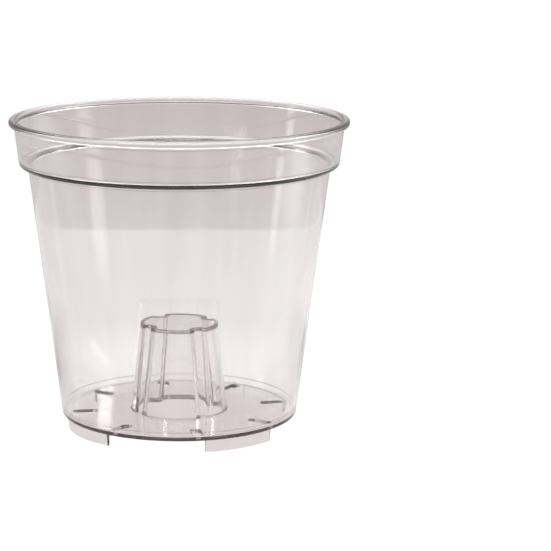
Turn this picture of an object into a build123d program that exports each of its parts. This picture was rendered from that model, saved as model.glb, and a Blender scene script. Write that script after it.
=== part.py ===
"""Clear moulded pot for orchids: a tapered wall under a stacking collar and a rounded lip, a floor with
radial drainage slots on four curved feet, and a hollow grooved tower that lets air into the middle.

The pot is one moulding. It is kept here as its moulded features, each a closed solid, and neighbours
meet face to face. Millimetres, +Z up. The origin is the middle of the ring that the feet stand on, and
+X runs through the middle of one drainage slot.
"""

import os
from math import acos, degrees, radians, tan

from build123d import *

# Mouth
lip_radius = 60.0
lip_height = 2.4
lip_overhang = 1.85
lip_inner_round = 0.9
lip_outer_round_share = 0.48
lip_root_round = 0.3

# Wall
wall_thickness = 1.15
wall_draft = 7.2
body_height = 89.85

# Stacking collar
collar_height = 12.7
ledge_thickness = 1.45
ledge_width = 3.0
ledge_outer_round = 1.4
ledge_outer_corner_round = 0.35
ledge_inner_round = 1.8
ledge_inner_corner_round = 0.9

# How far the lip and the ledge run past their corners, along the wall, before the next ring starts
corner_reach = 1.0

# Heel, where the wall turns into the floor
heel_height = 3.2
heel_outer_round = 1.2
heel_inner_round = 0.6

# Floor with its drainage slots
floor_thickness = 1.45
slot_count = 8
slot_width = 3.6
slot_length = 8.7
slot_margin = 0.75

# Feet
foot_count = 4
foot_height = 4.4
foot_thickness = 1.6
foot_inset = 0.1
foot_arc = 39.0

# Tower
tower_height = 31.4
tower_base_radius = 17.2
tower_top_radius = 13.9
tower_thickness = 1.2
tower_flare = 0.3
cap_thickness = 1.2
cap_round = 0.5
groove_base_width = 3.6
groove_top_width = 4.4
groove_base_depth = 2.3
groove_top_depth = 2.7
groove_round = 0.7
hollow_round = 0.4

# Heights
underside_z = foot_height
floor_z = underside_z + floor_thickness
heel_z = underside_z + heel_height
ledge_z = underside_z + body_height
collar_z = ledge_z + ledge_thickness
lip_z = collar_z + collar_height
rim_z = lip_z + lip_height
tower_z = floor_z + tower_height
cap_z = tower_z - cap_thickness

# Radii of the outer faces
draft = tan(radians(wall_draft))
collar_top_radius = lip_radius - lip_overhang


def collar_radius(height):
    """Outer radius of the collar at a height."""
    return collar_top_radius - draft * (lip_z - height)


def wall_radius(height):
    """Outer radius of the long wall at a height."""
    return collar_radius(height) - ledge_width


# The feet stand on the flat part of the heel's underside, and the floor ends at their inner faces
base_radius = wall_radius(underside_z)
heel_flat_radius = base_radius - heel_outer_round / tan(radians((90 + wall_draft) / 2))
foot_radius = heel_flat_radius - foot_inset
floor_radius = foot_radius - foot_thickness
slot_outer_radius = floor_radius - slot_margin
slot_middle_radius = slot_outer_radius - slot_length / 2

# One foot and one groove of the tower stand midway between two slots
foot_angles = [360 / foot_count * turn + 180 / slot_count for turn in range(foot_count)]


def ring(corners):
    """Ring from its section's corners (radius, height, rounding). Rounding zero keeps a corner sharp."""
    section = Polygon(*[(radius, height) for radius, height, _ in corners], align=None)
    for radius, height, rounding in corners:
        if rounding > 0:
            corner = section.vertices().sort_by_distance((radius, height, 0))[0]
            section = fillet(corner, rounding)
    return revolve(Plane.XZ * section, Axis.Z)


def rim_lip():
    """Rounded bead that stands out past the collar and runs on from it inside."""
    low = lip_z - corner_reach
    outer_round = lip_height * lip_outer_round_share
    return ring(
        [
            (collar_radius(low) - wall_thickness, low, 0),
            (collar_radius(low), low, 0),
            (collar_top_radius, lip_z, lip_root_round),
            (lip_radius, lip_z, outer_round),
            (lip_radius, rim_z, outer_round),
            (collar_radius(rim_z) - wall_thickness, rim_z, lip_inner_round),
        ]
    )


def tapered_band(radius_at, low, high):
    """Band of the wall's thickness between two heights, along a tapered outer face."""
    return ring(
        [
            (radius_at(low) - wall_thickness, low, 0),
            (radius_at(low), low, 0),
            (radius_at(high), high, 0),
            (radius_at(high) - wall_thickness, high, 0),
        ]
    )


def collar_ledge():
    """Step from the top of the wall out to the collar, bent smoothly at its four corners."""
    low = ledge_z - corner_reach
    high = collar_z + corner_reach
    return ring(
        [
            (wall_radius(low) - wall_thickness, low, 0),
            (wall_radius(low), low, 0),
            (wall_radius(ledge_z), ledge_z, ledge_outer_corner_round),
            (collar_radius(ledge_z), ledge_z, ledge_outer_round),
            (collar_radius(high), high, 0),
            (collar_radius(high) - wall_thickness, high, 0),
            (collar_radius(collar_z) - wall_thickness, collar_z, ledge_inner_corner_round),
            (wall_radius(collar_z) - wall_thickness, collar_z, ledge_inner_round),
        ]
    )


def base_heel():
    """Corner ring: the foot of the wall and the edge of the floor."""
    return ring(
        [
            (floor_radius, underside_z, 0),
            (base_radius, underside_z, heel_outer_round),
            (wall_radius(heel_z), heel_z, 0),
            (wall_radius(heel_z) - wall_thickness, heel_z, 0),
            (wall_radius(floor_z) - wall_thickness, floor_z, heel_inner_round),
            (floor_radius, floor_z, 0),
        ]
    )


def foot(angle):
    """Curved foot in line with the wall's draft outside and upright inside."""
    section = Polygon(
        (floor_radius, 0),
        (foot_radius - draft * foot_height, 0),
        (foot_radius, underside_z),
        (floor_radius, underside_z),
        align=None,
    )
    curved = revolve(Plane.XZ * section, Axis.Z, revolution_arc=foot_arc)
    return Rot(0, 0, angle - foot_arc / 2) * curved


def polar(radius, angle):
    """Point in plan at a radius and an angle."""
    return Vector(radius, 0).rotate(Axis.Z, angle)


def arc_round(centre, start, end):
    """Arc of less than half a turn about a centre."""
    bulge = (start - centre + end - centre).normalized() * (start - centre).length
    return ThreePointArc(start, centre + bulge, end)


def lobed_outline(radius, groove_radius, groove_depth, mouth_round):
    """Circle with a round-bottomed groove above each foot. Every arc runs smoothly into the next."""
    groove_middle = radius - groove_depth + groove_radius
    mouth_middle = radius - mouth_round
    reach = groove_radius + mouth_round
    mouth_angle = degrees(
        acos((groove_middle**2 + mouth_middle**2 - reach**2) / (2 * groove_middle * mouth_middle))
    )
    arcs = []
    for angle, next_angle in zip(foot_angles, foot_angles[1:] + [foot_angles[0] + 360]):
        groove = polar(groove_middle, angle)
        mouths = [polar(mouth_middle, angle - mouth_angle), polar(mouth_middle, angle + mouth_angle)]
        rims = [polar(radius, angle - mouth_angle), polar(radius, angle + mouth_angle)]
        bends = [mouth + (groove - mouth).normalized() * mouth_round for mouth in mouths]
        next_rim = polar(radius, next_angle - mouth_angle)
        arcs.append(arc_round(mouths[0], rims[0], bends[0]))
        arcs.append(ThreePointArc(bends[0], polar(radius - groove_depth, angle), bends[1]))
        arcs.append(arc_round(mouths[1], bends[1], rims[1]))
        arcs.append(arc_round(Vector(), rims[1], next_rim))
    return make_face(arcs)


def tower_section(height, inset, mouth_round):
    """Tower's outline at a height, moved inwards by inset."""
    rise = (height - floor_z) / tower_height
    radius = tower_base_radius + (tower_top_radius - tower_base_radius) * rise
    width = groove_base_width + (groove_top_width - groove_base_width) * rise
    depth = groove_base_depth + (groove_top_depth - groove_base_depth) * rise
    return Pos(0, 0, height) * lobed_outline(radius - inset, width / 2 + inset, depth, mouth_round)


def tower_body(low, high):
    """Full cone of the tower between two heights, with its grooves."""
    ends = [tower_section(height, 0, groove_round) for height in (low, high)]
    return loft(ends, ruled=True)


def tower_root():
    """Sloped foot that spreads the tower's wall onto the floor."""
    spread = tower_section(floor_z, -tower_flare, groove_round + tower_flare)
    above = floor_z + tower_flare + tower_thickness / 2
    hidden = tower_section(above, tower_thickness / 2, hollow_round)
    return loft([spread, hidden], ruled=True)


def tower_hollow():
    """Space inside the tower, open through the floor."""
    ends = [tower_section(height, tower_thickness, hollow_round) for height in (underside_z, cap_z)]
    return loft(ends, ruled=True)


def base_floor():
    """Flat floor with its ring of slots and the opening under the tower."""
    plan = Circle(floor_radius)
    for place in PolarLocations(slot_middle_radius, slot_count):
        plan -= place * SlotOverall(slot_length, slot_width)
    plate = Pos(0, 0, underside_z) * extrude(plan, floor_thickness)
    return plate - tower_hollow()


def tower_wall():
    """Grooved shell of the tower, from its spread foot up to its cap."""
    return tower_body(floor_z, cap_z) + tower_root() - tower_hollow()


def tower_cap():
    """Flat lobed top of the tower with a rounded upper edge."""
    cap = tower_body(cap_z, tower_z)
    top = cap.faces().sort_by(Axis.Z)[-1]
    return fillet(top.edges(), cap_round)


nodes = {
    "rim_lip": rim_lip(),
    "collar_band": tapered_band(collar_radius, collar_z + corner_reach, lip_z - corner_reach),
    "collar_ledge": collar_ledge(),
    "body_wall": tapered_band(wall_radius, heel_z, ledge_z - corner_reach),
    "base_heel": base_heel(),
    "base_floor": base_floor(),
    "tower_wall": tower_wall(),
    "tower_cap": tower_cap(),
}
for number, angle in enumerate(foot_angles, start=1):
    nodes[f"foot_{number}"] = foot(angle)

os.makedirs("parts", exist_ok=True)
for name, solid in nodes.items():
    solid.label = name
    export_step(solid, f"parts/{name}.step")
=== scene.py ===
"""Looks of the clear orchid pot: every moulded feature as its own closed skin of clear plastic.

The pot is one moulding, so where two features meet there is no surface to see. Each skin is closed there
by a fused face, which lets light straight through, and everywhere else it is glossy clear plastic.
Sizes are in metres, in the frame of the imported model.
"""

import logging
import math
from collections.abc import Callable, Sequence
from dataclasses import dataclass, field
from enum import Enum
from functools import partial

import bpy
import numpy as np
from mathutils import Euler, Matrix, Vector
from mathutils.geometry import delaunay_2d_cdt


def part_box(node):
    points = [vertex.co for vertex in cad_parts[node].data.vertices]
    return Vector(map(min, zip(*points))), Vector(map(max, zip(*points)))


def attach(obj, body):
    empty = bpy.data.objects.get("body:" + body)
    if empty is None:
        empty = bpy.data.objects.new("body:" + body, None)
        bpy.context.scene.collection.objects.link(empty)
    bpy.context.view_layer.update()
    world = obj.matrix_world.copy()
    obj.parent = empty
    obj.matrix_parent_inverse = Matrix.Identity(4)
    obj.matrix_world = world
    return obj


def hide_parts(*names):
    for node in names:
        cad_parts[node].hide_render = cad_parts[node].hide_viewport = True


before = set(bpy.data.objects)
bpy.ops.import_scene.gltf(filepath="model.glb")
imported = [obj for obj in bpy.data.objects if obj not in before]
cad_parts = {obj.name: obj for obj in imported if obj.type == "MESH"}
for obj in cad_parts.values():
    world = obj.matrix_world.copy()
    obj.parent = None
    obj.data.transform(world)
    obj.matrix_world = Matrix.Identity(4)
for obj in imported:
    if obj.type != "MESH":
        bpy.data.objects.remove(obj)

LOG = logging.getLogger("orchid_pot")

MM = 0.001

QUARTER = math.pi / 2

# Steps round the pot, one for each degree, so that the feet end on whole steps
TURN_STEPS = 360

# Steps of a rounding's quarter turn, and the fewest of any rounding
ROUND_STEPS = 8
LEAST_ROUND_STEPS = 2

# Gap between two fused faces, too thin to see, which keeps the order of their surfaces clear
HAIR = 0.001 * MM

# Points nearer to each other than this are one point
SAME = 0.01 * HAIR

# How far above and below a height a lofted wall is looked at, to find which way it faces
LEAN_REACH = 0.05 * MM

# Direction from the pot to the camera, seen from above
CAMERA_ANGLE = math.radians(-100)

# The pot's axis in plan, and the two directions along it
AXIS = np.zeros(2)
UP = np.array((0.0, 0.0, 1.0))
DOWN = np.array((0.0, 0.0, -1.0))

# Inputs and output of a Mix node that mixes colours
MIX_START, MIX_END, MIX_RESULT = 6, 7, 2

# Red, green, blue and alpha
Colour = tuple[float, float, float, float]

WHITE: Colour = (1.0, 1.0, 1.0, 1.0)
BLACK: Colour = (0.0, 0.0, 0.0, 1.0)

# Place and colour of each stop of a run of light, of which the first and the last come first
Bands = tuple[tuple[float, tuple[float, float, float]], ...]

# An outline in plan: one row (x, y, outward x, outward y) for each point, anticlockwise
Outline = np.ndarray


class Face(Enum):
    """What a face of a skin is: plastic that shows, or a cut where the moulding runs on."""

    CLEAR = 0
    FUSED = 1


@dataclass(frozen=True)
class Corner:
    """Corner of a turned section, with its rounding, and what the edge after it is."""

    radius: float
    height: float
    rounding: float = 0.0
    edge: Face = Face.CLEAR


@dataclass(frozen=True)
class Station:
    """Point of a turned section with the direction that its surface faces."""

    radius: float
    height: float
    out: float
    up: float


@dataclass(frozen=True)
class Run:
    """Short stretch of a turned section between two stations."""

    start: Station
    end: Station
    kind: Face


@dataclass(frozen=True)
class Level:
    """Closed row of points round a skin with the directions that its surface faces."""

    places: np.ndarray
    facings: np.ndarray


def unit(rows: np.ndarray) -> np.ndarray:
    """Rows of vectors, each scaled to length one."""
    return rows / np.linalg.norm(rows, axis=-1, keepdims=True)


def polar(radius: float, angle: float) -> np.ndarray:
    """Point in plan at a radius and an angle in radians."""
    return np.array((radius * math.cos(angle), radius * math.sin(angle)))


def between(start: float, end: float, share: float) -> float:
    """Value a share of the way from one to another."""
    return start + (end - start) * share


def rounding_turns(start: float, end: float) -> np.ndarray:
    """Angles of the steps of a rounding's quarter turn, from one to another."""
    return np.linspace(start, end, ROUND_STEPS + 1)


def arc_spots(
    centre: np.ndarray, radius: float, start: float, end: float, steps: int, out: int = 1
) -> Outline:
    """Points along an arc in plan.

    Args:
        centre: Middle of the arc.
        radius: Its radius.
        start: First angle in radians.
        end: Last angle in radians.
        steps: Number of equal steps between them.
        out: 1 where the outward side is away from the centre, -1 where it is towards it.

    Returns:
        Rows of the outline, both ends among them.
    """
    turns = np.linspace(start, end, steps + 1)
    rays = np.stack((np.cos(turns), np.sin(turns)), axis=1)
    return np.hstack((centre + radius * rays, out * rays))


def level(outline: Outline, height: float, facings: np.ndarray | None = None) -> Level:
    """Outline lifted to a height.

    Args:
        outline: The outline.
        height: Where it goes.
        facings: The surface's direction at each point. Without them, it stands upright there.

    Returns:
        The level.
    """
    flat = np.full((len(outline), 1), height)
    if facings is None:
        facings = np.hstack((outline[:, 2:], np.zeros_like(flat)))
    return Level(np.hstack((outline[:, :2], flat)), facings)


def leaned(
    outline_at: Callable[[float], Outline], height: float, reach: float = LEAN_REACH
) -> np.ndarray:
    """Directions that a lofted wall faces at a height, from its outlines just above and below.

    Args:
        outline_at: Gives the wall's outline at a height.
        height: Where the directions are wanted.
        reach: How far above and below to look.

    Returns:
        One unit vector for each point of the outline.
    """
    outline = outline_at(height)
    rise = (outline_at(height + reach)[:, :2] - outline_at(height - reach)[:, :2]) / (2 * reach)
    along = np.stack((-outline[:, 3], outline[:, 2], np.zeros(len(outline))), axis=1)
    upward = np.hstack((rise, np.ones((len(outline), 1))))
    return unit(np.cross(along, upward))


def bend(corner: Corner, before: np.ndarray, after: np.ndarray) -> list[Station]:
    """Stations round a corner of a turned section.

    Args:
        corner: The corner.
        before: Direction of the edge that runs up to it.
        after: Direction of the edge that runs on from it.

    Returns:
        Those of its rounding, or two at a sharp corner's own place.
    """
    spot = np.array((corner.radius, corner.height))
    turn = math.atan2(before[0] * after[1] - before[1] * after[0], float(before @ after))
    facing = math.atan2(-before[0], before[1])
    if corner.rounding == 0:
        angles = (facing, facing + turn)
        return [Station(*spot, math.cos(angle), math.sin(angle)) for angle in angles]
    steps = max(LEAST_ROUND_STEPS, math.ceil(ROUND_STEPS * abs(turn) / QUARTER))
    side = math.copysign(1, turn)
    start = spot - before * corner.rounding * math.tan(abs(turn) / 2)
    centre = start - side * corner.rounding * polar(1, facing)
    stations = []
    for angle in np.linspace(facing, facing + turn, steps + 1):
        ray = polar(1, angle)
        stations.append(Station(*(centre + side * corner.rounding * ray), *ray))
    return stations


def rounded_runs(corners: Sequence[Corner]) -> list[Run]:
    """Section of a turned skin, with its corners rounded.

    Args:
        corners: Corners in anticlockwise order, seen with the axis on the left.

    Returns:
        The closed section as runs, with directions that turn smoothly through each rounding.
    """
    spots = [np.array((corner.radius, corner.height)) for corner in corners]
    count = len(corners)
    ahead = [unit(spots[(at + 1) % count] - spots[at]) for at in range(count)]
    bends = [bend(corner, ahead[at - 1], ahead[at]) for at, corner in enumerate(corners)]
    runs = []
    for at, corner in enumerate(corners):
        if corner.rounding > 0:
            runs += [Run(start, end, Face.CLEAR) for start, end in zip(bends[at], bends[at][1:])]
        runs.append(Run(bends[at][-1], bends[(at + 1) % count][0], corner.edge))
    return runs


class Skin:
    """Closed mesh under construction, with a direction for each corner of each face."""

    def __init__(self, node: str) -> None:
        """Starts an empty skin for a node."""
        self.node = node
        self.places: list[tuple[float, ...]] = []
        self.known: dict[tuple[int, ...], int] = {}
        self.faces: list[list[int]] = []
        self.facings: list[tuple[float, ...]] = []
        self.kinds: list[int] = []

    def corner(self, place: Sequence[float]) -> int:
        """Finds the vertex at a place, or adds it.

        Args:
            place: The place.

        Returns:
            The vertex's number.
        """
        key = tuple(round(value / SAME) for value in place)
        if key not in self.known:
            self.known[key] = len(self.places)
            self.places.append(tuple(float(value) for value in place))
        return self.known[key]

    def face(
        self, places: Sequence[Sequence[float]], facings: Sequence[Sequence[float]], kind: Face
    ) -> None:
        """Adds a face, anticlockwise from outside. Corners that fall together count once.

        Args:
            places: Its corners.
            facings: The surface's direction at each corner.
            kind: What the face is.
        """
        corners: dict[int, tuple[float, ...]] = {}
        for place, facing in zip(places, facings):
            corners.setdefault(self.corner(place), tuple(float(value) for value in facing))
        if len(corners) < 3:
            return
        self.faces.append(list(corners))
        self.facings += corners.values()
        self.kinds.append(kind.value)

    def turned(self, runs: Sequence[Run], fused: Callable[[Run, int], bool] | None = None) -> None:
        """Adds a section turned once round the pot's axis.

        Args:
            runs: The closed section.
            fused: Says whether a run's face at a step of the turn is fused. Without it, the run says so.
        """
        rays = [polar(1, math.tau * step / TURN_STEPS) for step in range(TURN_STEPS)]

        def around(station: Station, ray: np.ndarray) -> tuple[tuple[float, ...], tuple[float, ...]]:
            """Place and facing of a station, turned to a ray."""
            place = (station.radius * ray[0], station.radius * ray[1], station.height)
            return place, (station.out * ray[0], station.out * ray[1], station.up)

        for run in runs:
            for step, ray in enumerate(rays):
                following = rays[(step + 1) % TURN_STEPS]
                ends = [
                    around(run.start, ray),
                    around(run.start, following),
                    around(run.end, following),
                    around(run.end, ray),
                ]
                cut = fused is not None and fused(run, step)
                kind = Face.FUSED if cut else run.kind
                self.face([place for place, _ in ends], [facing for _, facing in ends], kind)

    def band(self, start: Level, end: Level, kind: Face = Face.CLEAR) -> None:
        """Adds the faces between two levels.

        Args:
            start: One level.
            end: The other. Where it lies above the first, the faces look outwards.
            kind: What the faces are.
        """
        count = len(start.places)
        for at in range(count):
            after = (at + 1) % count
            self.face(
                (start.places[at], start.places[after], end.places[after], end.places[at]),
                (start.facings[at], start.facings[after], end.facings[after], end.facings[at]),
                kind,
            )

    def bands(self, levels: Sequence[Level]) -> None:
        """Adds the faces between each level and the next."""
        for start, end in zip(levels, levels[1:]):
            self.band(start, end)

    def fused_ring(self, start: Level, end: Level, up: int) -> None:
        """Adds a flat fused ring between two levels at one height, facing up (1) or down (-1)."""
        facing = np.tile((0.0, 0.0, float(up)), (len(start.places), 1))
        self.band(Level(start.places, facing), Level(end.places, facing), Face.FUSED)

    def plate(
        self, loops: Sequence[np.ndarray], height: float, up: int, kind: Face = Face.CLEAR
    ) -> None:
        """Adds a flat face at a height, bounded by loops that may lie inside one another.

        Args:
            loops: Points in plan of each boundary.
            height: Where the face lies.
            up: 1 for a face that looks up, -1 for one that looks down.
            kind: What the face is.
        """
        spots = np.vstack([loop[:, :2] for loop in loops])
        edges, first = [], 0
        for loop in loops:
            edges += [(first + at, first + (at + 1) % len(loop)) for at in range(len(loop))]
            first += len(loop)
        ends = spots[[edge[1] for edge in edges]]
        found = delaunay_2d_cdt([Vector(spot) for spot in spots], edges, [], 0, SAME)
        known = [spots[names[0]] for names in found[3]]
        for triangle in found[2]:
            middle = sum(known[corner] for corner in triangle) / len(triangle)
            if not self.inside(middle, spots, ends):
                continue
            corners = [(*known[corner], height) for corner in triangle]
            (x_a, y_a), (x_b, y_b), (x_c, y_c) = (known[corner] for corner in triangle[:3])
            clockwise = (x_b - x_a) * (y_c - y_a) < (x_c - x_a) * (y_b - y_a)
            if clockwise == (up > 0):
                corners.reverse()
            self.face(corners, [(0.0, 0.0, float(up))] * len(corners), kind)

    @staticmethod
    def inside(spot: np.ndarray, starts: np.ndarray, ends: np.ndarray) -> bool:
        """Whether a point lies on a plate: an odd number of the plate's edges are on its right.

        Args:
            spot: The point in plan.
            starts: Where each edge starts.
            ends: Where each edge ends.

        Returns:
            True where it does.
        """
        passing = (starts[:, 1] > spot[1]) != (ends[:, 1] > spot[1])
        rise = np.where(passing, ends[:, 1] - starts[:, 1], 1.0)
        across = starts[:, 0] + (spot[1] - starts[:, 1]) * (ends[:, 0] - starts[:, 0]) / rise
        return np.count_nonzero(passing & (across > spot[0])) % 2 == 1

    def finished(self, materials: Sequence[bpy.types.Material]) -> bpy.types.Object:
        """Makes the object.

        Args:
            materials: One for each kind of face.

        Returns:
            The object, linked to the scene.
        """
        name = f"clear_{self.node}"
        mesh = bpy.data.meshes.new(name)
        mesh.from_pydata(self.places, [], self.faces)
        for material in materials:
            mesh.materials.append(material)
        mesh.polygons.foreach_set("material_index", self.kinds)
        mesh.polygons.foreach_set("use_smooth", [True] * len(self.faces))
        mesh.normals_split_custom_set(self.facings)
        mesh.update()
        piece = bpy.data.objects.new(name, mesh)
        bpy.context.scene.collection.objects.link(piece)
        return piece


class Value:
    """Number socket in a node tree. Arithmetic on it adds Math nodes."""

    def __init__(self, wiring: "Wiring", socket: bpy.types.NodeSocket) -> None:
        """Wraps a socket of the wiring's node tree."""
        self.wiring = wiring
        self.socket = socket

    def math(self, operation: str, *values: "Value | float") -> "Value":
        """Result of a Math node on these values."""
        return self.wiring.value("ShaderNodeMath", {"operation": operation}, dict(enumerate(values)))

    def __add__(self, other: "Value | float") -> "Value":
        """Sum."""
        return self.math("ADD", self, other)

    __radd__ = __add__

    def __sub__(self, other: "Value | float") -> "Value":
        """Difference."""
        return self.math("SUBTRACT", self, other)

    def __rsub__(self, other: float) -> "Value":
        """Difference the other way round."""
        return self.math("SUBTRACT", other, self)

    def __mul__(self, other: "Value | float") -> "Value":
        """Product."""
        return self.math("MULTIPLY", self, other)

    __rmul__ = __mul__

    def hump(self) -> "Value":
        """Rises from 0 at 0 to 1 at a half, and falls back to 0 at 1."""
        return 4 * self * (1 - self)

    def above(self, low: float, high: float) -> "Value":
        """Rises smoothly from 0 at low to 1 at high."""
        inputs = {"Value": self, "From Min": low, "From Max": high}
        return self.wiring.value("ShaderNodeMapRange", {"interpolation_type": "SMOOTHSTEP"}, inputs)


class Wiring:
    """Node tree of a material, a light or the world, emptied for new nodes."""

    def __init__(self, tree: bpy.types.NodeTree) -> None:
        """Empties the tree."""
        self.tree = tree
        tree.nodes.clear()

    def node(
        self, kind: str, settings: dict[str, object], inputs: dict[str | int, object]
    ) -> bpy.types.Node:
        """Adds a node.

        Args:
            kind: The node's type.
            settings: Its properties, or a ramp's stops, which are set first.
            inputs: A number, colour, socket or value for each input, by name or place.

        Returns:
            The node.
        """
        made = self.tree.nodes.new(kind)
        for name, setting in settings.items():
            if name == "stops":
                self.place_stops(made.color_ramp.elements, setting)
            else:
                setattr(made, name, setting)
        for name, given in inputs.items():
            source = given.socket if isinstance(given, Value) else given
            if isinstance(source, bpy.types.NodeSocket):
                self.tree.links.new(source, made.inputs[name])
            else:
                made.inputs[name].default_value = source
        return made

    @staticmethod
    def place_stops(elements: bpy.types.bpy_prop_collection, stops: Bands) -> None:
        """Puts a new ramp's own stops and the further ones that it needs in their places.

        Args:
            elements: The ramp's stops.
            stops: Place and colour of each, of which the first and the last come first.
        """
        ready = len(elements)
        for at, (place, colour) in enumerate(stops):
            element = elements[at] if at < ready else elements.new(place)
            element.position = place
            element.color = (*colour, 1)

    def value(self, kind: str, settings: dict[str, object], inputs: dict[str | int, object]) -> Value:
        """Adds a node and wraps its first output."""
        return Value(self, self.node(kind, settings, inputs).outputs[0])

    def mixed(
        self,
        share: Value | bpy.types.NodeSocket,
        start: Colour | bpy.types.NodeSocket,
        end: Colour | bpy.types.NodeSocket,
    ) -> bpy.types.NodeSocket:
        """Colour a share of the way from one to another."""
        inputs = {"Factor": share, MIX_START: start, MIX_END: end}
        return self.node("ShaderNodeMix", {"data_type": "RGBA"}, inputs).outputs[MIX_RESULT]

    def ramp(self, share: Value, stops: Bands) -> bpy.types.NodeSocket:
        """Colour that runs through stops, of which the first and the last come first."""
        return self.node("ShaderNodeValToRGB", {"stops": stops}, {"Fac": share}).outputs["Color"]

    def distance(self, place: bpy.types.NodeSocket, middle: tuple[float, float, float]) -> Value:
        """Distance of a place from a point."""
        node = self.node("ShaderNodeVectorMath", {"operation": "DISTANCE"}, {0: place, 1: middle})
        return Value(self, node.outputs["Value"])

    def split(self, vector: bpy.types.NodeSocket) -> list[Value]:
        """The three coordinates of a vector."""
        node = self.node("ShaderNodeSeparateXYZ", {}, {"Vector": vector})
        return [Value(self, output) for output in node.outputs]

    def coordinates(self, kind: str) -> bpy.types.NodeSocket:
        """Place of each point of a surface, or way that the world is looked at."""
        return self.node("ShaderNodeTexCoord", {}, {}).outputs[kind]

    def seen_directly(self) -> bpy.types.NodeSocket:
        """1 where the view meets it first, and 0 in reflections and through the plastic."""
        return self.node("ShaderNodeLightPath", {}, {}).outputs["Is Camera Ray"]


def new_material(name: str) -> tuple[bpy.types.Material, Wiring]:
    """Makes a material with no nodes.

    Args:
        name: Its name.

    Returns:
        The material and its wiring.
    """
    material = bpy.data.materials.new(name)
    material.use_nodes = True
    return material, Wiring(material.node_tree)


@dataclass(frozen=True)
class Grain:
    """Smooth noise from 0 to 1: how fine it is, and how many finer layers lie over it."""

    scale: float
    detail: int

    def over(self, wiring: Wiring, place: bpy.types.NodeSocket) -> Value:
        """Noise at each place."""
        inputs = {"Vector": place, "Scale": self.scale, "Detail": self.detail}
        return wiring.value("ShaderNodeTexNoise", {}, inputs)


@dataclass(frozen=True)
class ClearPlastic:
    """Glossy moulded plastic, clear with a grey-pink cast that deepens with the way through it.

    Attributes:
        ior: Refractive index.
        tint: Surface colour between the flow streaks.
        streak: Surface colour in the streaks.
        cast: Colour that light takes on inside the plastic.
        depth: How fast it does so, per metre.
        gloss: Roughness of clean plastic.
        smudge: How much rougher a full smudge is.
        smudges: Grain of the smudges.
        smudge_range: Values of that grain at which smudges begin, and are full.
        streaks: Grain of the flow streaks.
        streak_range: Values of that grain at which streaks begin, and are full.
        waves: Grain of the wide waves in the surface.
        wave_share: Share of the waves in the surface's relief.
        flow: Grain of the long ripples along the flow.
        flow_share: Share of the ripples in the relief.
        flow_stretch: Scale of streaks and ripples up the pot, against that across it.
        bump_height: Height of the relief.
    """

    ior: float = 1.575
    tint: Colour = (0.988, 0.98, 0.981, 1.0)
    streak: Colour = (0.955, 0.938, 0.94, 1.0)
    cast: Colour = (0.56, 0.45, 0.46, 1.0)
    depth: float = 30.0
    gloss: float = 0.03
    smudge: float = 0.05
    smudges: Grain = Grain(60.0, 4)
    smudge_range: tuple[float, float] = (0.5, 0.8)
    streaks: Grain = Grain(110.0, 3)
    streak_range: tuple[float, float] = (0.3, 0.7)
    waves: Grain = Grain(45.0, 1)
    wave_share: float = 0.7
    flow: Grain = Grain(150.0, 2)
    flow_share: float = 0.3
    flow_stretch: float = 0.06
    bump_height: float = 0.09 * MM

    def build(self) -> bpy.types.Material:
        """Makes the material.

        Returns:
            The material.
        """
        material, wiring = new_material("clear_plastic")
        place = wiring.coordinates("Object")
        stretch = {"Vector": place, "Scale": (1, 1, self.flow_stretch)}
        stretched = wiring.node("ShaderNodeMapping", {}, stretch).outputs["Vector"]
        waves = self.waves.over(wiring, place)
        flow = self.flow.over(wiring, stretched)
        height = self.wave_share * waves + self.flow_share * flow
        relief = {"Strength": 1.0, "Distance": self.bump_height, "Height": height}
        bump = wiring.node("ShaderNodeBump", {}, relief)
        smudged = self.smudges.over(wiring, place).above(*self.smudge_range)
        streaked = self.streaks.over(wiring, stretched).above(*self.streak_range)
        surface = wiring.node(
            "ShaderNodeBsdfPrincipled",
            {},
            {
                "Base Color": wiring.mixed(streaked, self.tint, self.streak),
                "Roughness": self.gloss + self.smudge * smudged,
                "IOR": self.ior,
                "Transmission Weight": 1.0,
                "Normal": bump.outputs["Normal"],
            },
        )
        self.fill(wiring, surface)
        return material

    def fill(self, wiring: Wiring, surface: bpy.types.Node) -> None:
        """Closes a material with a surface, and with this plastic's cast behind it.

        Args:
            wiring: The material's wiring.
            surface: Its shader.
        """
        volume = wiring.node(
            "ShaderNodeVolumeAbsorption", {}, {"Color": self.cast, "Density": self.depth}
        )
        inputs = {"Surface": surface.outputs["BSDF"], "Volume": volume.outputs["Volume"]}
        wiring.node("ShaderNodeOutputMaterial", {}, inputs)


@dataclass(frozen=True)
class FusedPlastic:
    """Inside of the moulding where two features meet: light goes straight on."""

    plastic: ClearPlastic

    def build(self) -> bpy.types.Material:
        """Makes the material.

        Returns:
            The material.
        """
        material, wiring = new_material("fused_plastic")
        self.plastic.fill(wiring, wiring.node("ShaderNodeBsdfTransparent", {}, {}))
        return material


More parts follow.
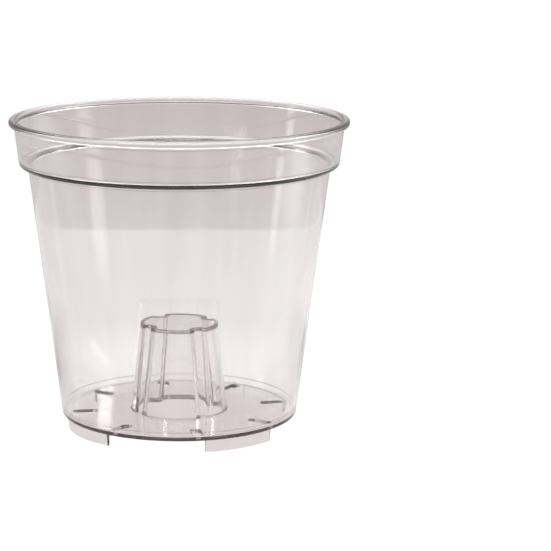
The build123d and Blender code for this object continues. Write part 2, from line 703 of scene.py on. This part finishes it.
@dataclass
class Mould:
    """Sizes that all features of the moulding share, and their finishes."""

    thickness: float = 1.15 * MM
    draft: float = math.radians(7.2)
    ledge_width: float = 3.0 * MM
    lip_overhang: float = 1.85 * MM
    lip_height: float = 2.4 * MM
    plastic: ClearPlastic = ClearPlastic()
    lip_radius: float = field(init=False)
    rim_z: float = field(init=False)
    lip_z: float = field(init=False)
    materials: list[bpy.types.Material] = field(init=False)

    def __post_init__(self) -> None:
        """Reads the lip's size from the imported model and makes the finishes."""
        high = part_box("rim_lip")[1]
        self.lip_radius = high.x
        self.rim_z = high.z
        self.lip_z = high.z - self.lip_height
        self.materials = [self.plastic.build(), FusedPlastic(self.plastic).build()]

    def collar_radius(self, height: float) -> float:
        """Outer radius of the collar at a height."""
        return self.lip_radius - self.lip_overhang - math.tan(self.draft) * (self.lip_z - height)

    def wall_radius(self, height: float) -> float:
        """Outer radius of the long wall at a height."""
        return self.collar_radius(height) - self.ledge_width

    def dress(self, skin: Skin) -> bpy.types.Object:
        """Makes a skin's object and puts it in the place of its node.

        Args:
            skin: The finished skin.

        Returns:
            The object.
        """
        piece = skin.finished(self.materials)
        node = skin.node
        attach(piece, "root")
        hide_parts(node)
        return piece

    def dress_ring(self, node: str, corners: Sequence[Corner]) -> bpy.types.Object:
        """Dresses a node in a section turned round the axis.

        Args:
            node: The node.
            corners: The section's corners in anticlockwise order, seen with the axis on the left.

        Returns:
            The object.
        """
        skin = Skin(node)
        skin.turned(rounded_runs(corners))
        return self.dress(skin)

    def dress_band(self, node: str, radius_at: Callable[[float], float]) -> bpy.types.Object:
        """Dresses a plain stretch of the wall, fused at both ends.

        Args:
            node: The feature that the band stands for.
            radius_at: Gives the outer radius at a height.

        Returns:
            The object.
        """
        low, high = (corner.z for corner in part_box(node))
        low, high = low + HAIR, high - HAIR
        return self.dress_ring(
            node,
            [
                Corner(radius_at(low) - self.thickness, low, 0, Face.FUSED),
                Corner(radius_at(low), low),
                Corner(radius_at(high), high, 0, Face.FUSED),
                Corner(radius_at(high) - self.thickness, high),
            ],
        )


@dataclass
class Mouth:
    """Rolled lip, stacking collar and the ledge under it."""

    mould: Mould
    lip_inner_round: float = 0.9 * MM
    lip_outer_round_share: float = 0.48
    lip_root_round: float = 0.3 * MM
    ledge_thickness: float = 1.45 * MM
    ledge_outer_round: float = 1.4 * MM
    ledge_outer_corner_round: float = 0.35 * MM
    ledge_inner_round: float = 1.8 * MM
    ledge_inner_corner_round: float = 0.9 * MM
    corner_reach: float = 1.0 * MM

    def build(self) -> list[bpy.types.Object]:
        """Builds the three rings."""
        return [self.lip(), self.collar(), self.ledge()]

    def lip(self) -> bpy.types.Object:
        """Bead that stands out past the collar."""
        mould = self.mould
        collar, thickness = mould.collar_radius, mould.thickness
        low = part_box("rim_lip")[0].z + HAIR
        outer_round = mould.lip_height * self.lip_outer_round_share
        return mould.dress_ring(
            "rim_lip",
            [
                Corner(collar(low) - thickness, low, 0, Face.FUSED),
                Corner(collar(low), low),
                Corner(collar(mould.lip_z), mould.lip_z, self.lip_root_round),
                Corner(mould.lip_radius, mould.lip_z, outer_round),
                Corner(mould.lip_radius, mould.rim_z, outer_round),
                Corner(collar(mould.rim_z) - thickness, mould.rim_z, self.lip_inner_round),
            ],
        )

    def collar(self) -> bpy.types.Object:
        """Smooth band between the ledge and the lip."""
        return self.mould.dress_band("collar_band", self.mould.collar_radius)

    def ledge(self) -> bpy.types.Object:
        """Step from the wall out to the collar."""
        mould = self.mould
        collar, wall, thickness = mould.collar_radius, mould.wall_radius, mould.thickness
        low, high = (corner.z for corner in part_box("collar_ledge"))
        low, high = low + HAIR, high - HAIR
        bottom = low + self.corner_reach
        top = bottom + self.ledge_thickness
        return mould.dress_ring(
            "collar_ledge",
            [
                Corner(wall(low) - thickness, low, 0, Face.FUSED),
                Corner(wall(low), low),
                Corner(wall(bottom), bottom, self.ledge_outer_corner_round),
                Corner(collar(bottom), bottom, self.ledge_outer_round),
                Corner(collar(high), high, 0, Face.FUSED),
                Corner(collar(high) - thickness, high),
                Corner(collar(top) - thickness, top, self.ledge_inner_corner_round),
                Corner(wall(top) - thickness, top, self.ledge_inner_round),
            ],
        )


@dataclass
class Wall:
    """Long tapered wall between the heel and the ledge."""

    mould: Mould

    def build(self) -> list[bpy.types.Object]:
        """Builds the wall."""
        return [self.mould.dress_band("body_wall", self.mould.wall_radius)]


@dataclass
class Feet:
    """Four curved feet under the heel, each ending on whole steps of the turn.

    Attributes:
        mould: The moulding's sizes.
        angles: First angle of each foot, in degrees.
        arc: How far a foot runs round, in degrees.
        edge_round: Rounding of the sole and of the upright edges.
        edge_steps: Steps of an upright edge's rounding.
        rounding_reach: Height below the root over which that rounding grows from nothing.
        root_levels: Levels over that height.
        root_lean_reach: How far above and below them the wall's outline is looked at.
    """

    mould: Mould
    angles: tuple[int, ...] = (3, 93, 183, 273)
    arc: int = 39
    edge_round: float = 0.25 * MM
    edge_steps: int = 4
    rounding_reach: float = 0.4 * MM
    root_levels: int = 5
    root_lean_reach: float = 0.01 * MM
    height: float = field(init=False)
    inner: float = field(init=False)
    root: float = field(init=False)

    def __post_init__(self) -> None:
        """Reads the feet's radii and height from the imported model."""
        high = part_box("foot_1")[1]
        self.height = high.z
        self.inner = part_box("base_floor")[1].x
        # Of the first foot, the corner at its first angle lies furthest along X
        self.root = high.x / math.cos(math.radians(self.angles[0]))

    def outer(self, height: float) -> float:
        """Outer radius at a height."""
        return self.root - math.tan(self.mould.draft) * (self.height - height)

    def covers(self, step: int) -> bool:
        """Whether a step of the turn lies on a foot."""
        return any(angle <= step < angle + self.arc for angle in self.angles)

    def outline(self, first: int, height: float, inset: float = 0.0) -> Outline:
        """Outline of a foot in plan.

        Args:
            first: The foot's first angle in whole degrees.
            height: Where it is cut.
            inset: How far the outline is moved inwards.

        Returns:
            The outline, with corners that are sharp at the root and rounded below it.
        """
        rounding = self.edge_round * min(1.0, max(0.0, (self.height - height) / self.rounding_reach))
        edge_arc = partial(arc_spots, radius=rounding, steps=self.edge_steps)
        start, end = math.radians(first), math.radians(first + self.arc)
        shrink = inset + rounding
        rows = []
        for radius, out in ((self.outer(height), 1), (self.inner, -1)):
            middle = radius - out * shrink
            lag = math.asin(shrink / middle)
            near, far = start + lag, end - lag
            near_middle, far_middle = polar(middle, near), polar(middle, far)
            face = radius - out * inset
            if out > 0:
                rows += [
                    edge_arc(near_middle, start=start - QUARTER, end=near),
                    arc_spots(AXIS, face, near, far, self.arc),
                    edge_arc(far_middle, start=far, end=end + QUARTER),
                ]
            else:
                rows += [
                    edge_arc(far_middle, start=end + QUARTER, end=far + math.pi),
                    arc_spots(AXIS, face, far, near, self.arc, -1),
                    edge_arc(near_middle, start=near + math.pi, end=start + 3 * QUARTER),
                ]
        return np.vstack(rows)

    def build(self) -> list[bpy.types.Object]:
        """Builds the feet."""
        return [self.foot(number, first) for number, first in enumerate(self.angles, start=1)]

    def foot(self, number: int, first: int) -> bpy.types.Object:
        """Builds one foot, from its rounded sole up to its fused root.

        Args:
            number: The foot's number.
            first: Its first angle in whole degrees.

        Returns:
            The foot.
        """
        skin = Skin(f"foot_{number}")
        outline_at = partial(self.outline, first)
        sole_facings = leaned(outline_at, self.edge_round)
        levels = []
        for turn in rounding_turns(QUARTER, 0):
            inset = self.edge_round * (1 - math.cos(turn))
            height = self.edge_round * (1 - math.sin(turn))
            facings = unit(math.cos(turn) * sole_facings + math.sin(turn) * DOWN)
            levels.append(level(outline_at(self.edge_round, inset), height, facings))
        sole = levels[0]
        top = self.height - HAIR
        for height in np.linspace(self.height - self.rounding_reach, top, self.root_levels):
            facings = leaned(outline_at, height, self.root_lean_reach)
            levels.append(level(outline_at(height), height, facings))
        skin.bands(levels)
        skin.plate([sole.places], sole.places[0][2], -1)
        skin.plate([levels[-1].places], top, 1, Face.FUSED)
        return self.mould.dress(skin)


@dataclass
class Tower:
    """Hollow air tower with four grooves, and the cap that closes it."""

    mould: Mould
    base_radius: float = 17.2 * MM
    top_radius: float = 13.9 * MM
    thickness: float = 1.2 * MM
    flare: float = 0.3 * MM
    cap_round: float = 0.5 * MM
    ceiling_round: float = 0.4 * MM
    groove_base_width: float = 3.6 * MM
    groove_top_width: float = 4.4 * MM
    groove_base_depth: float = 2.3 * MM
    groove_top_depth: float = 2.7 * MM
    groove_steps: int = 20
    groove_angles: tuple[float, ...] = (22.5, 112.5, 202.5, 292.5)
    mouth_round: float = 0.7 * MM
    mouth_steps: int = 6
    lobe_steps: int = 64
    hollow_round: float = 0.4 * MM
    floor_z: float = field(init=False)
    cap_z: float = field(init=False)
    top_z: float = field(init=False)

    def __post_init__(self) -> None:
        """Reads the tower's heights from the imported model."""
        self.floor_z, self.cap_z = (corner.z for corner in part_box("tower_wall"))
        self.top_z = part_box("tower_cap")[1].z

    def outline(self, height: float, inset: float, mouth_round: float) -> Outline:
        """Circle with round-bottomed grooves.

        Args:
            height: Where the tower is cut.
            inset: How far the outline is moved inwards.
            mouth_round: Rounding of the edges where the grooves open.

        Returns:
            The outline, in which every arc runs smoothly into the next.
        """
        rise = (height - self.floor_z) / (self.top_z - self.floor_z)
        radius = between(self.base_radius, self.top_radius, rise) - inset
        depth = between(self.groove_base_depth, self.groove_top_depth, rise)
        groove = between(self.groove_base_width, self.groove_top_width, rise) / 2 + inset
        groove_middle = radius - depth + groove
        mouth_middle = radius - mouth_round
        reach = groove + mouth_round
        spread = math.acos(
            (groove_middle**2 + mouth_middle**2 - reach**2) / (2 * groove_middle * mouth_middle)
        )
        rows = []
        angles = [math.radians(angle) for angle in self.groove_angles]
        for angle, following in zip(angles, angles[1:] + [angles[0] + math.tau]):
            start, end = angle - spread, angle + spread
            middle = polar(groove_middle, angle)
            before, after = polar(mouth_middle, start), polar(mouth_middle, end)
            bend_in = self.heading(before, middle, angle)
            bend_out = self.heading(after, middle, angle)
            opposite = (bend_in + math.pi, bend_out + math.pi)
            rows += [
                arc_spots(before, mouth_round, start, bend_in, self.mouth_steps)[:-1],
                arc_spots(middle, groove, *opposite, self.groove_steps, -1)[:-1],
                arc_spots(after, mouth_round, bend_out, end, self.mouth_steps)[:-1],
                arc_spots(AXIS, radius, end, following - spread, self.lobe_steps)[:-1],
            ]
        return np.vstack(rows)

    @staticmethod
    def heading(start: np.ndarray, end: np.ndarray, near: float) -> float:
        """Angle from one point to another, within half a turn of a given one."""
        angle = math.atan2(end[1] - start[1], end[0] - start[0])
        return near + (angle - near + math.pi) % math.tau - math.pi

    def outside(self, height: float, inset: float = 0.0) -> Outline:
        """Outline of the tower's outer face, moved inwards by inset."""
        return self.outline(height, inset, self.mouth_round - inset)

    def hollow(self, height: float, inset: float = 0.0) -> Outline:
        """Outline of the space inside the tower, moved inwards by inset."""
        return self.outline(height, self.thickness + inset, self.hollow_round)

    def outside_level(self, height: float) -> Level:
        """Level on the outer wall."""
        return level(self.outside(height), height, leaned(self.outside, height))

    def hollow_level(self, height: float) -> Level:
        """Level on the inner wall, which looks towards the axis."""
        return level(self.hollow(height), height, -leaned(self.hollow, height))

    def build(self) -> list[bpy.types.Object]:
        """Builds the wall and the cap."""
        return [self.wall(), self.cap()]

    def foot_levels(self) -> list[Level]:
        """Gives the rounding where the tower spreads onto the floor.

        Returns:
            Its levels, from the floor up.
        """
        levels = []
        for turn in rounding_turns(0, QUARTER):
            height = self.floor_z + self.flare * (1 - math.cos(turn))
            spread = self.flare * (1 - math.sin(turn))
            facings = unit(math.cos(turn) * UP + math.sin(turn) * leaned(self.outside, height))
            levels.append(level(self.outside(height, -spread), height, facings))
        return levels

    def ceiling_levels(self, top: float) -> list[Level]:
        """Gives the rounding between the hollow's ceiling and its wall.

        Args:
            top: The ceiling's height.

        Returns:
            Its levels, from the ceiling down.
        """
        levels = []
        for turn in rounding_turns(0, QUARTER):
            height = top - self.ceiling_round * (1 - math.cos(turn))
            inset = self.ceiling_round * (1 - math.sin(turn))
            facings = unit(math.cos(turn) * DOWN - math.sin(turn) * leaned(self.hollow, height))
            levels.append(level(self.hollow(height, inset), height, facings))
        return levels

    def wall(self) -> bpy.types.Object:
        """Grooved shell from the floor up to the cap."""
        skin = Skin("tower_wall")
        bottom, top = self.floor_z + HAIR, self.cap_z - HAIR
        outer = self.foot_levels()
        outer[0].places[:, 2] = bottom
        outer.append(self.outside_level(top))
        skin.bands(outer)
        inner = self.ceiling_levels(top)
        inner.append(self.hollow_level(bottom))
        skin.bands(inner)
        skin.fused_ring(outer[-1], inner[0], 1)
        skin.fused_ring(inner[-1], outer[0], -1)
        return self.mould.dress(skin)

    def cap(self) -> bpy.types.Object:
        """Lobed lid with a rounded upper edge."""
        skin = Skin("tower_cap")
        bottom, edge = self.cap_z, self.top_z - self.cap_round
        levels = [self.outside_level(bottom)]
        for turn in rounding_turns(0, QUARTER):
            inset = self.cap_round * (1 - math.cos(turn))
            height = edge + self.cap_round * math.sin(turn)
            facings = unit(math.cos(turn) * leaned(self.outside, edge) + math.sin(turn) * UP)
            levels.append(level(self.outside(edge, inset), height, facings))
        skin.bands(levels)
        skin.plate([levels[-1].places], self.top_z, 1)
        ceiling = level(self.hollow(bottom, self.ceiling_round), bottom)
        skin.fused_ring(ceiling, levels[0], -1)
        skin.plate([ceiling.places], bottom, -1)
        return self.mould.dress(skin)


@dataclass
class Base:
    """Heel and slotted floor, which carry the feet and the tower."""

    mould: Mould
    feet: Feet
    tower: Tower
    heel_outer_round: float = 1.2 * MM
    heel_inner_round: float = 0.6 * MM
    slot_count: int = 8
    slot_width: float = 3.6 * MM
    slot_length: float = 8.7 * MM
    slot_margin: float = 0.75 * MM
    slot_round: float = 0.15 * MM
    slot_end_steps: int = 24
    mouth_round: float = 0.1 * MM
    underside_z: float = field(init=False)
    floor_z: float = field(init=False)
    heel_z: float = field(init=False)
    floor_radius: float = field(init=False)
    slot_middle: float = field(init=False)

    def __post_init__(self) -> None:
        """Reads the base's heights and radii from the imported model."""
        low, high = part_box("base_floor")
        self.underside_z, self.floor_z = low.z, high.z
        self.heel_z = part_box("base_heel")[1].z
        self.floor_radius = high.x
        self.slot_middle = self.floor_radius - self.slot_margin - self.slot_length / 2

    def build(self) -> list[bpy.types.Object]:
        """Builds the heel and the floor."""
        return [self.heel(), self.floor()]

    def heel(self) -> bpy.types.Object:
        """Corner ring between the wall and the floor, fused to the feet below."""
        wall, thickness = self.mould.wall_radius, self.mould.thickness
        underside, floor = self.underside_z, self.floor_z
        inner = self.floor_radius + HAIR
        top = self.heel_z - HAIR
        skin = Skin("base_heel")
        runs = rounded_runs(
            [
                Corner(inner, underside),
                Corner(self.feet.root, underside),
                Corner(wall(underside), underside, self.heel_outer_round),
                Corner(wall(top), top, 0, Face.FUSED),
                Corner(wall(top) - thickness, top),
                Corner(wall(floor) - thickness, floor, self.heel_inner_round),
                Corner(inner, floor, 0, Face.FUSED),
            ]
        )
        # The first run is the flat that the feet stand under
        flat = runs[0]
        skin.turned(runs, lambda run, step: run is flat and self.feet.covers(step))
        return self.mould.dress(skin)

    def slot_outline(self, angle: float, grow: float) -> Outline:
        """Round-ended slot along a radius.

        Args:
            angle: The radius's angle in radians.
            grow: How much larger the outline is all round.

        Returns:
            The outline, whose outward side is the open slot.
        """
        straight = (self.slot_length - self.slot_width) / 2
        radius = self.slot_width / 2 + grow
        far = polar(self.slot_middle + straight, angle)
        near = polar(self.slot_middle - straight, angle)
        steps = self.slot_end_steps
        return np.vstack(
            (
                arc_spots(far, radius, angle - QUARTER, angle + QUARTER, steps, -1),
                arc_spots(near, radius, angle + QUARTER, angle + 3 * QUARTER, steps, -1),
            )
        )

    def slot_levels(self, angle: float) -> list[Level]:
        """Gives the wall of a slot, with both its edges rounded.

        Args:
            angle: The slot's angle in radians.

        Returns:
            Its levels, from the floor's top down.
        """
        turns = rounding_turns(0, QUARTER)
        levels = []
        for edge, way in ((self.floor_z, 1), (self.underside_z, -1)):
            for turn in turns[::way]:
                outline = self.slot_outline(angle, self.slot_round * (1 - math.sin(turn)))
                height = edge - way * self.slot_round * (1 - math.cos(turn))
                upright = math.sin(turn) * outline[:, 2:]
                flat = np.full((len(outline), 1), way * math.cos(turn))
                levels.append(level(outline, height, np.hstack((upright, flat))))
        return levels

    def mouth_levels(self) -> list[Level]:
        """Gives the wall of the opening under the tower, with its lower edge rounded.

        Returns:
            Its levels, from the floor's top down.
        """
        tower = self.tower
        levels = [tower.hollow_level(self.floor_z)]
        for turn in rounding_turns(QUARTER, 0):
            height = self.underside_z + self.mouth_round * (1 - math.cos(turn))
            spread = self.mouth_round * (1 - math.sin(turn))
            outline = tower.outline(height, tower.thickness - spread, tower.hollow_round + spread)
            facings = unit(math.cos(turn) * DOWN - math.sin(turn) * leaned(tower.hollow, height))
            levels.append(level(outline, height, facings))
        return levels

    def floor(self) -> bpy.types.Object:
        """Plate with its slots, fused to the heel round it and the tower on it."""
        skin = Skin("base_floor")
        rim = arc_spots(AXIS, self.floor_radius, 0, math.tau, TURN_STEPS)[:-1]
        skin.band(level(rim, self.underside_z), level(rim, self.floor_z), Face.FUSED)
        slots = [self.slot_levels(math.tau * at / self.slot_count) for at in range(self.slot_count)]
        for levels in slots:
            skin.bands(levels)
        mouth = self.mouth_levels()
        skin.bands(mouth)
        spread = self.tower.foot_levels()[0]
        slot_tops = [levels[0].places for levels in slots]
        slot_ends = [levels[-1].places for levels in slots]
        skin.plate([rim, spread.places, *slot_tops], self.floor_z, 1)
        skin.fused_ring(spread, mouth[0], 1)
        skin.plate([rim, mouth[-1].places, *slot_ends], self.underside_z, -1)
        return self.mould.dress(skin)


def on_table(aside: float, away: float) -> tuple[float, float, float]:
    """Place on the table, to the right of the pot and behind it as the camera sees them."""
    place = polar(aside, CAMERA_ANGLE + QUARTER) - polar(away, CAMERA_ANGLE)
    return (float(place[0]), float(place[1]), 0.0)


@dataclass(frozen=True)
class Pool:
    """Round patch of painted light or painted shade in the table's glow, with a soft edge.

    Attributes:
        colour: The table's glow in the patch, painted light or painted shade.
        aside: How far to the right of the pot its middle lies, as the camera sees it.
        away: How far behind the pot its middle lies.
        full: Radius up to which it has its full colour.
        gone: Radius at which it has faded out.
    """

    colour: Colour
    aside: float
    away: float
    full: float
    gone: float


@dataclass(frozen=True)
class Table:
    """Pale round table that glows with painted light: its glow is painted brighter on the right, with
    painted shade under and beside the pot.
    """

    radius: float = 379 * MM
    sides: int = 180
    paint: Colour = (0.1, 0.098, 0.098, 1.0)
    # Painted light: the glow is an emission colour, brightest round a point to the right of the pot and
    # dimmer with distance, like a pool of light
    glow: Bands = (
        (0.0, (1.05, 1.04, 1.04)),
        (1.0, (0.69, 0.67, 0.67)),
        (0.3, (0.88, 0.86, 0.86)),
        (0.6, (0.77, 0.75, 0.75)),
    )
    # Middle of that painted pool of light, to the right of the pot
    glow_aside: float = 220 * MM
    # Painted light: a brighter patch of glow behind the pot
    painted_light_behind_pot: Pool = Pool((0.87, 0.85, 0.85, 1.0), 0, 80 * MM, 20 * MM, 95 * MM)
    # Painted light: a bright pool of glow far to the right of the pot
    painted_light_on_right: Pool = Pool((1.9, 1.88, 1.88, 1.0), 330 * MM, 0, 30 * MM, 110 * MM)
    # Painted shadow: a dark patch of glow left of and behind the pot, where its shadow would fall
    left_shade: Pool = Pool((0.4, 0.39, 0.385, 1.0), -105 * MM, 55 * MM, 20 * MM, 75 * MM)
    # Painted shadow: a milder dark patch of glow right of and behind the pot
    right_shade: Pool = Pool((0.57, 0.56, 0.56, 1.0), 105 * MM, 55 * MM, 20 * MM, 75 * MM)
    # Painted shade: a darker, pinker patch of glow under the pot, where its tinted shadow would lie
    painted_shade_under_pot: Pool = Pool((0.72, 0.66, 0.665, 1.0), 0, 0, 38 * MM, 56 * MM)

    def build(self) -> None:
        """Builds the table top."""
        bpy.ops.mesh.primitive_circle_add(vertices=self.sides, radius=self.radius, fill_type="NGON")
        table = bpy.context.object
        table.name = "table_top"
        table.data.materials.append(self.material())

    def material(self) -> bpy.types.Material:
        """Makes the table's paint. Seen directly it is plain white, as the photograph's ground is.

        Returns:
            The material.
        """
        material, wiring = new_material("pale_table")
        paint = wiring.node("ShaderNodeBsdfDiffuse", {}, {"Color": self.paint})
        place = wiring.coordinates("Object")
        reach = wiring.distance(place, on_table(self.glow_aside, 0))
        bright = wiring.ramp(reach * (1 / self.radius), self.glow)
        # Painted light and painted shade: each pool mixes its colour into the glow
        pools = (self.painted_light_behind_pot, self.painted_light_on_right, self.left_shade, self.right_shade, self.painted_shade_under_pot)
        for pool in pools:
            apart = wiring.distance(place, on_table(pool.aside, pool.away))
            bright = wiring.mixed(apart.above(pool.full, pool.gone), pool.colour, bright)
        bright = wiring.mixed(wiring.seen_directly(), bright, WHITE)
        # The glow is painted light: the table top gives off light itself, though it is no lamp
        glow = wiring.node("ShaderNodeEmission", {}, {"Color": bright, "Strength": 1.0})
        surface = wiring.node("ShaderNodeAddShader", {}, {0: paint.outputs[0], 1: glow.outputs[0]})
        wiring.node("ShaderNodeOutputMaterial", {}, {"Surface": surface.outputs[0]})
        return material


@dataclass(frozen=True)
class Surroundings:
    """Bright room: bands of light at elevations in degrees, all round and behind the pot.

    Attributes:
        around: Light on all sides.
        behind: Light behind the pot, as the camera sees it.
        behind_spread: How far towards that side the way has to point for it to begin, and to be full.
        left_shade: How much darker the room is on the left.
        left_spread: How far to the left the way has to point for that to begin, and to be full.
        backdrop: What the camera sees behind the table.
    """

    around: Bands = (
        (-90, (1.0, 1.0, 1.0)),
        (90, (1.1, 1.05, 1.05)),
        (-8, (0.82, 0.8, 0.8)),
        (8, (0.84, 0.81, 0.81)),
        (20, (0.92, 0.88, 0.88)),
        (60, (1.0, 0.97, 0.97)),
    )
    behind: Bands = (
        (-90, (1.0, 1.0, 1.0)),
        (90, (1.1, 1.05, 1.05)),
        (-10.6, (0.68, 0.65, 0.65)),
        (-9.6, (0.64, 0.59, 0.59)),
        (-8.6, (0.63, 0.57, 0.57)),
        (-7.8, (0.575, 0.515, 0.515)),
        (0, (0.6, 0.55, 0.55)),
        (16, (0.65, 0.6, 0.6)),
        (22, (0.88, 0.84, 0.84)),
        (60, (1.05, 1.0, 1.0)),
    )
    behind_spread: tuple[float, float] = (0.55, 0.95)
    left_shade: float = 0.15
    left_spread: tuple[float, float] = (0.2, 0.9)
    backdrop: Colour = (1.05, 1.05, 1.05, 1.0)

    def build(self) -> None:
        """Builds the world."""
        world = bpy.data.worlds.new("surroundings")
        bpy.context.scene.world = world
        world.use_nodes = True
        wiring = Wiring(world.node_tree)
        x, y, z = wiring.split(wiring.coordinates("Generated"))
        back_x, back_y = (float(part) for part in polar(-1, CAMERA_ANGLE))
        behind = (x * back_x + y * back_y).above(*self.behind_spread)
        left = (y * back_x - x * back_y).above(*self.left_spread)
        ramps = [wiring.ramp(0.5 * z + 0.5, self.stops(bands)) for bands in (self.around, self.behind)]
        colour = wiring.mixed(behind, *ramps)
        colour = wiring.mixed(left * self.left_shade, colour, BLACK)
        colour = wiring.mixed(wiring.seen_directly(), colour, self.backdrop)
        background = wiring.node("ShaderNodeBackground", {}, {"Color": colour, "Strength": 1.0})
        wiring.node("ShaderNodeOutputWorld", {}, {"Surface": background.outputs["Background"]})

    @staticmethod
    def stops(bands: Bands) -> Bands:
        """The same bands, placed from straight down at 0 to straight up at 1."""
        return tuple(
            (0.5 * math.sin(math.radians(elevation)) + 0.5, colour) for elevation, colour in bands
        )


@dataclass(frozen=True)
class Lamp:
    """Rectangular light with soft edges, which faces the pot.

    Attributes:
        name: Its name.
        aside: Where it stands round the pot, in degrees to the right of the camera.
        elevation: How high it stands, in degrees above the table.
        size: Its width and height.
        radiance: How bright it looks.
        distance: Its distance from the pot's foot.
    """

    name: str
    aside: float
    elevation: float
    size: tuple[float, float]
    radiance: float
    distance: float = 1.2

    def build(self) -> None:
        """Adds the light."""
        light = bpy.data.lights.new(self.name, "AREA")
        light.shape = "RECTANGLE"
        light.size, light.size_y = self.size
        light.energy = self.radiance * math.pi * self.size[0] * self.size[1]
        light.use_nodes = True
        self.soften(Wiring(light.node_tree))
        rise = math.radians(self.elevation)
        spot = polar(self.distance * math.cos(rise), CAMERA_ANGLE + math.radians(self.aside))
        place = Vector((*spot, self.distance * math.sin(rise)))
        holder = bpy.data.objects.new(self.name, light)
        holder.location = place
        holder.visible_camera = False
        holder.rotation_euler = (-place).to_track_quat("-Z", "Y").to_euler()
        bpy.context.scene.collection.objects.link(holder)

    @staticmethod
    def soften(wiring: Wiring) -> None:
        """Lets the light fall off from its middle to its edges."""
        across, up, _ = wiring.split(wiring.node("ShaderNodeNewGeometry", {}, {}).outputs["Parametric"])
        emission = wiring.node("ShaderNodeEmission", {}, {"Color": across.hump() * up.hump()})
        wiring.node("ShaderNodeOutputLight", {}, {"Surface": emission.outputs["Emission"]})


@dataclass(frozen=True)
class View:
    """Camera at the photograph's angle, with the pot left of the middle."""

    distance: float = 777.1 * MM
    height: float = 216.2 * MM
    pitch: float = math.radians(11.789)
    lens: float = 145.39
    shift: float = 0.1747

    def build(self) -> None:
        """Adds the camera."""
        data = bpy.data.cameras.new("camera")
        data.lens = self.lens
        data.shift_x = self.shift
        camera = bpy.data.objects.new("camera", data)
        camera.location = (*polar(self.distance, CAMERA_ANGLE), self.height)
        camera.rotation_euler = Euler((QUARTER - self.pitch, 0, CAMERA_ANGLE + QUARTER))
        bpy.context.scene.collection.objects.link(camera)
        bpy.context.scene.camera = camera


@dataclass(frozen=True)
class Studio:
    """Table, surroundings, camera, and lights: low windows on three sides, softboxes on all four."""

    table: Table = Table()
    surroundings: Surroundings = Surroundings()
    lamps: tuple[Lamp, ...] = (
        Lamp("right_window", 75, 5.8, (0.4, 0.2), 2.3),
        Lamp("back_window", 120, 5.5, (0.9, 0.15), 0.7),
        Lamp("left_window", -92, 5.8, (0.22, 0.2), 2.4),
        Lamp("right_softbox", 86, 25.5, (0.48, 0.24), 15),
        Lamp("left_softbox", -37, 29, (0.2, 0.24), 12),
        Lamp("front_softbox", 0, 42, (1.9, 0.3), 8),
        Lamp("back_softbox", 180, 48, (1.7, 0.5), 6),
    )
    view: View = View()

    def build(self) -> None:
        """Builds the stage, and lets light pass through all the walls of the clear pot."""
        for part in (self.table, self.surroundings, *self.lamps, self.view):
            part.build()
        cycles = bpy.context.scene.cycles
        cycles.max_bounces = 32
        cycles.transmission_bounces = 32
        cycles.glossy_bounces = 16
        cycles.transparent_max_bounces = 64
        cycles.volume_bounces = 0
        bpy.context.scene.view_settings.view_transform = "Standard"


def main() -> None:
    """Builds and reports the pot, and builds its stage."""
    logging.basicConfig(level=logging.INFO, format="%(message)s")
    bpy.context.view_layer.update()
    mould = Mould()
    feet = Feet(mould)
    tower = Tower(mould)
    for part in (Mouth(mould), Wall(mould), Base(mould, feet, tower), tower, feet):
        for piece in part.build():
            LOG.info("%s: %d faces", piece.name, len(piece.data.polygons))
    Studio().build()


if __name__ == "__main__":
    main()
